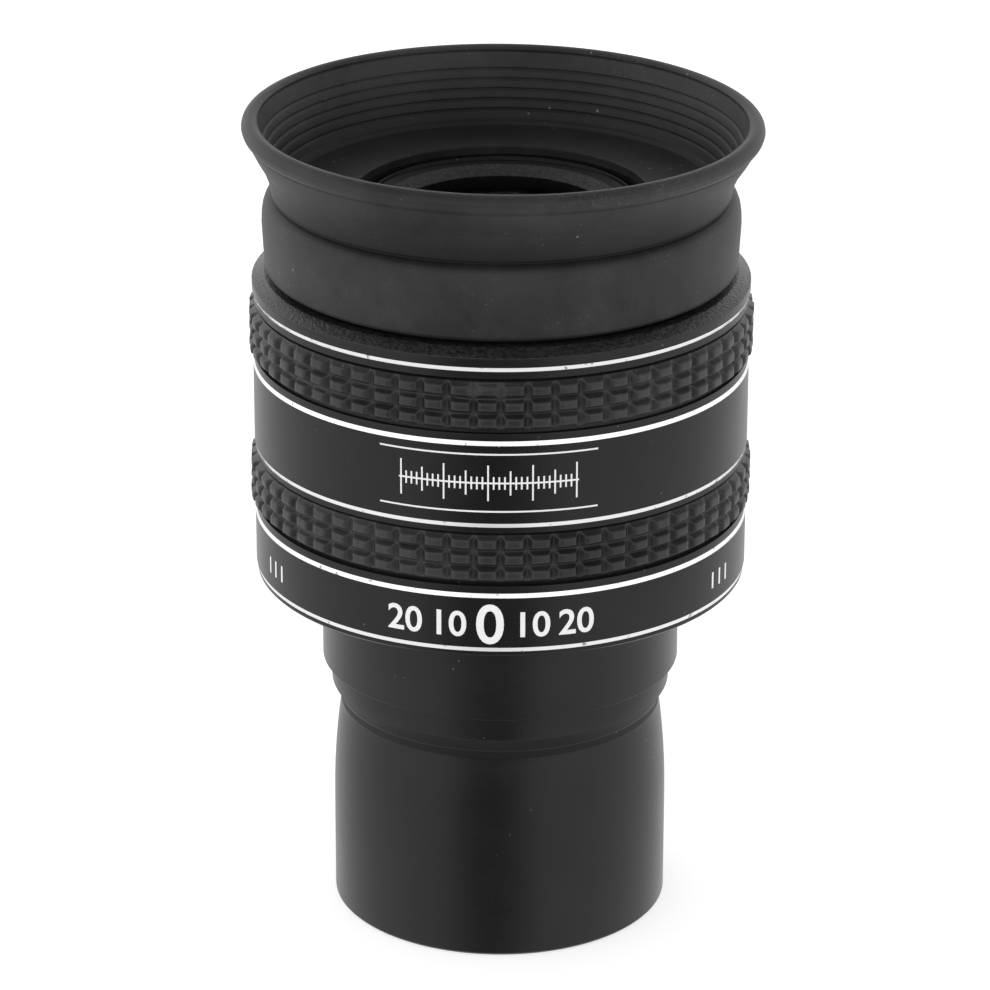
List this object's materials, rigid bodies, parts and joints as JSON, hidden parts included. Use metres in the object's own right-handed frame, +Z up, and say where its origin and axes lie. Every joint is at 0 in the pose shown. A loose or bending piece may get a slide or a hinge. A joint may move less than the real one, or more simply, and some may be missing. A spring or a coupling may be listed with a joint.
{
  "type": "telescope eyepiece",
  "caption": "Black telescope eyepiece with a push-fit nosepiece, rubber grips, bright cut lines and a soft eyecup on a twist-up sleeve.",
  "frame": {"origin": "centre of the nosepiece's open end, on the face it stands on", "axes": "+Z up the optical axis towards the eye, -Y towards the marked front"},
  "size_m": [0.048, 0.048, 0.0778],
  "materials": {
    "black_anodised": "satin black anodised, with bare cut edges",
    "matt_black_metal": "matt black anodised",
    "blasted_black_metal": "bead-blasted and black anodised",
    "optical_glass": "polished",
    "coated_glass": "polished, blue anti-reflection coating",
    "grip_rubber": "matt moulded",
    "cup_rubber": "matt soft moulded",
    "seal_rubber": "greased",
    "screw_steel": "turned"
  },
  "bodies": {
    "eyepiece_body": {"nosepiece_barrel": "black_anodised", "smyth_retaining_ring": "matt_black_metal", "smyth_front_lens": "optical_glass", "smyth_rear_lens": "optical_glass", "barrel_baffle": "matt_black_metal", "base_flange": "black_anodised", "main_housing": "black_anodised", "lower_grip": "grip_rubber", "upper_grip": "grip_rubber", "top_retaining_ring": "blasted_black_metal", "lens_barrel": "matt_black_metal", "field_stop": "matt_black_metal", "field_retaining_ring": "matt_black_metal", "field_lens": "optical_glass", "lens_spacer": "matt_black_metal", "doublet_crown": "optical_glass", "doublet_flint": "optical_glass", "eye_lens": "coated_glass", "eye_lens_bezel": "blasted_black_metal", "guide_screws": "screw_steel"},
    "eyeguard_lifter": {"damping_ring": "seal_rubber"},
    "eyeguard": {"eyeguard_sleeve": "matt_black_metal", "eyecup": "cup_rubber"}
  },
  "joints": [
    {"name": "eyeguard_lift", "type": "slide", "parent": "eyepiece_body", "child": "eyeguard_lifter", "axis": [0, 0, 1], "range_m": [0, 0.009]},
    {"name": "eyeguard_twist", "type": "hinge", "parent": "eyeguard_lifter", "child": "eyeguard", "pos_m": [0, 0, 0.06], "axis": [0, 0, 1], "range_deg": [0, 150]}
  ],
  "couplings": [
    {"joint": "eyeguard_lift", "follows": "eyeguard_twist", "m_per_rad": 0.0034377}
  ]
}
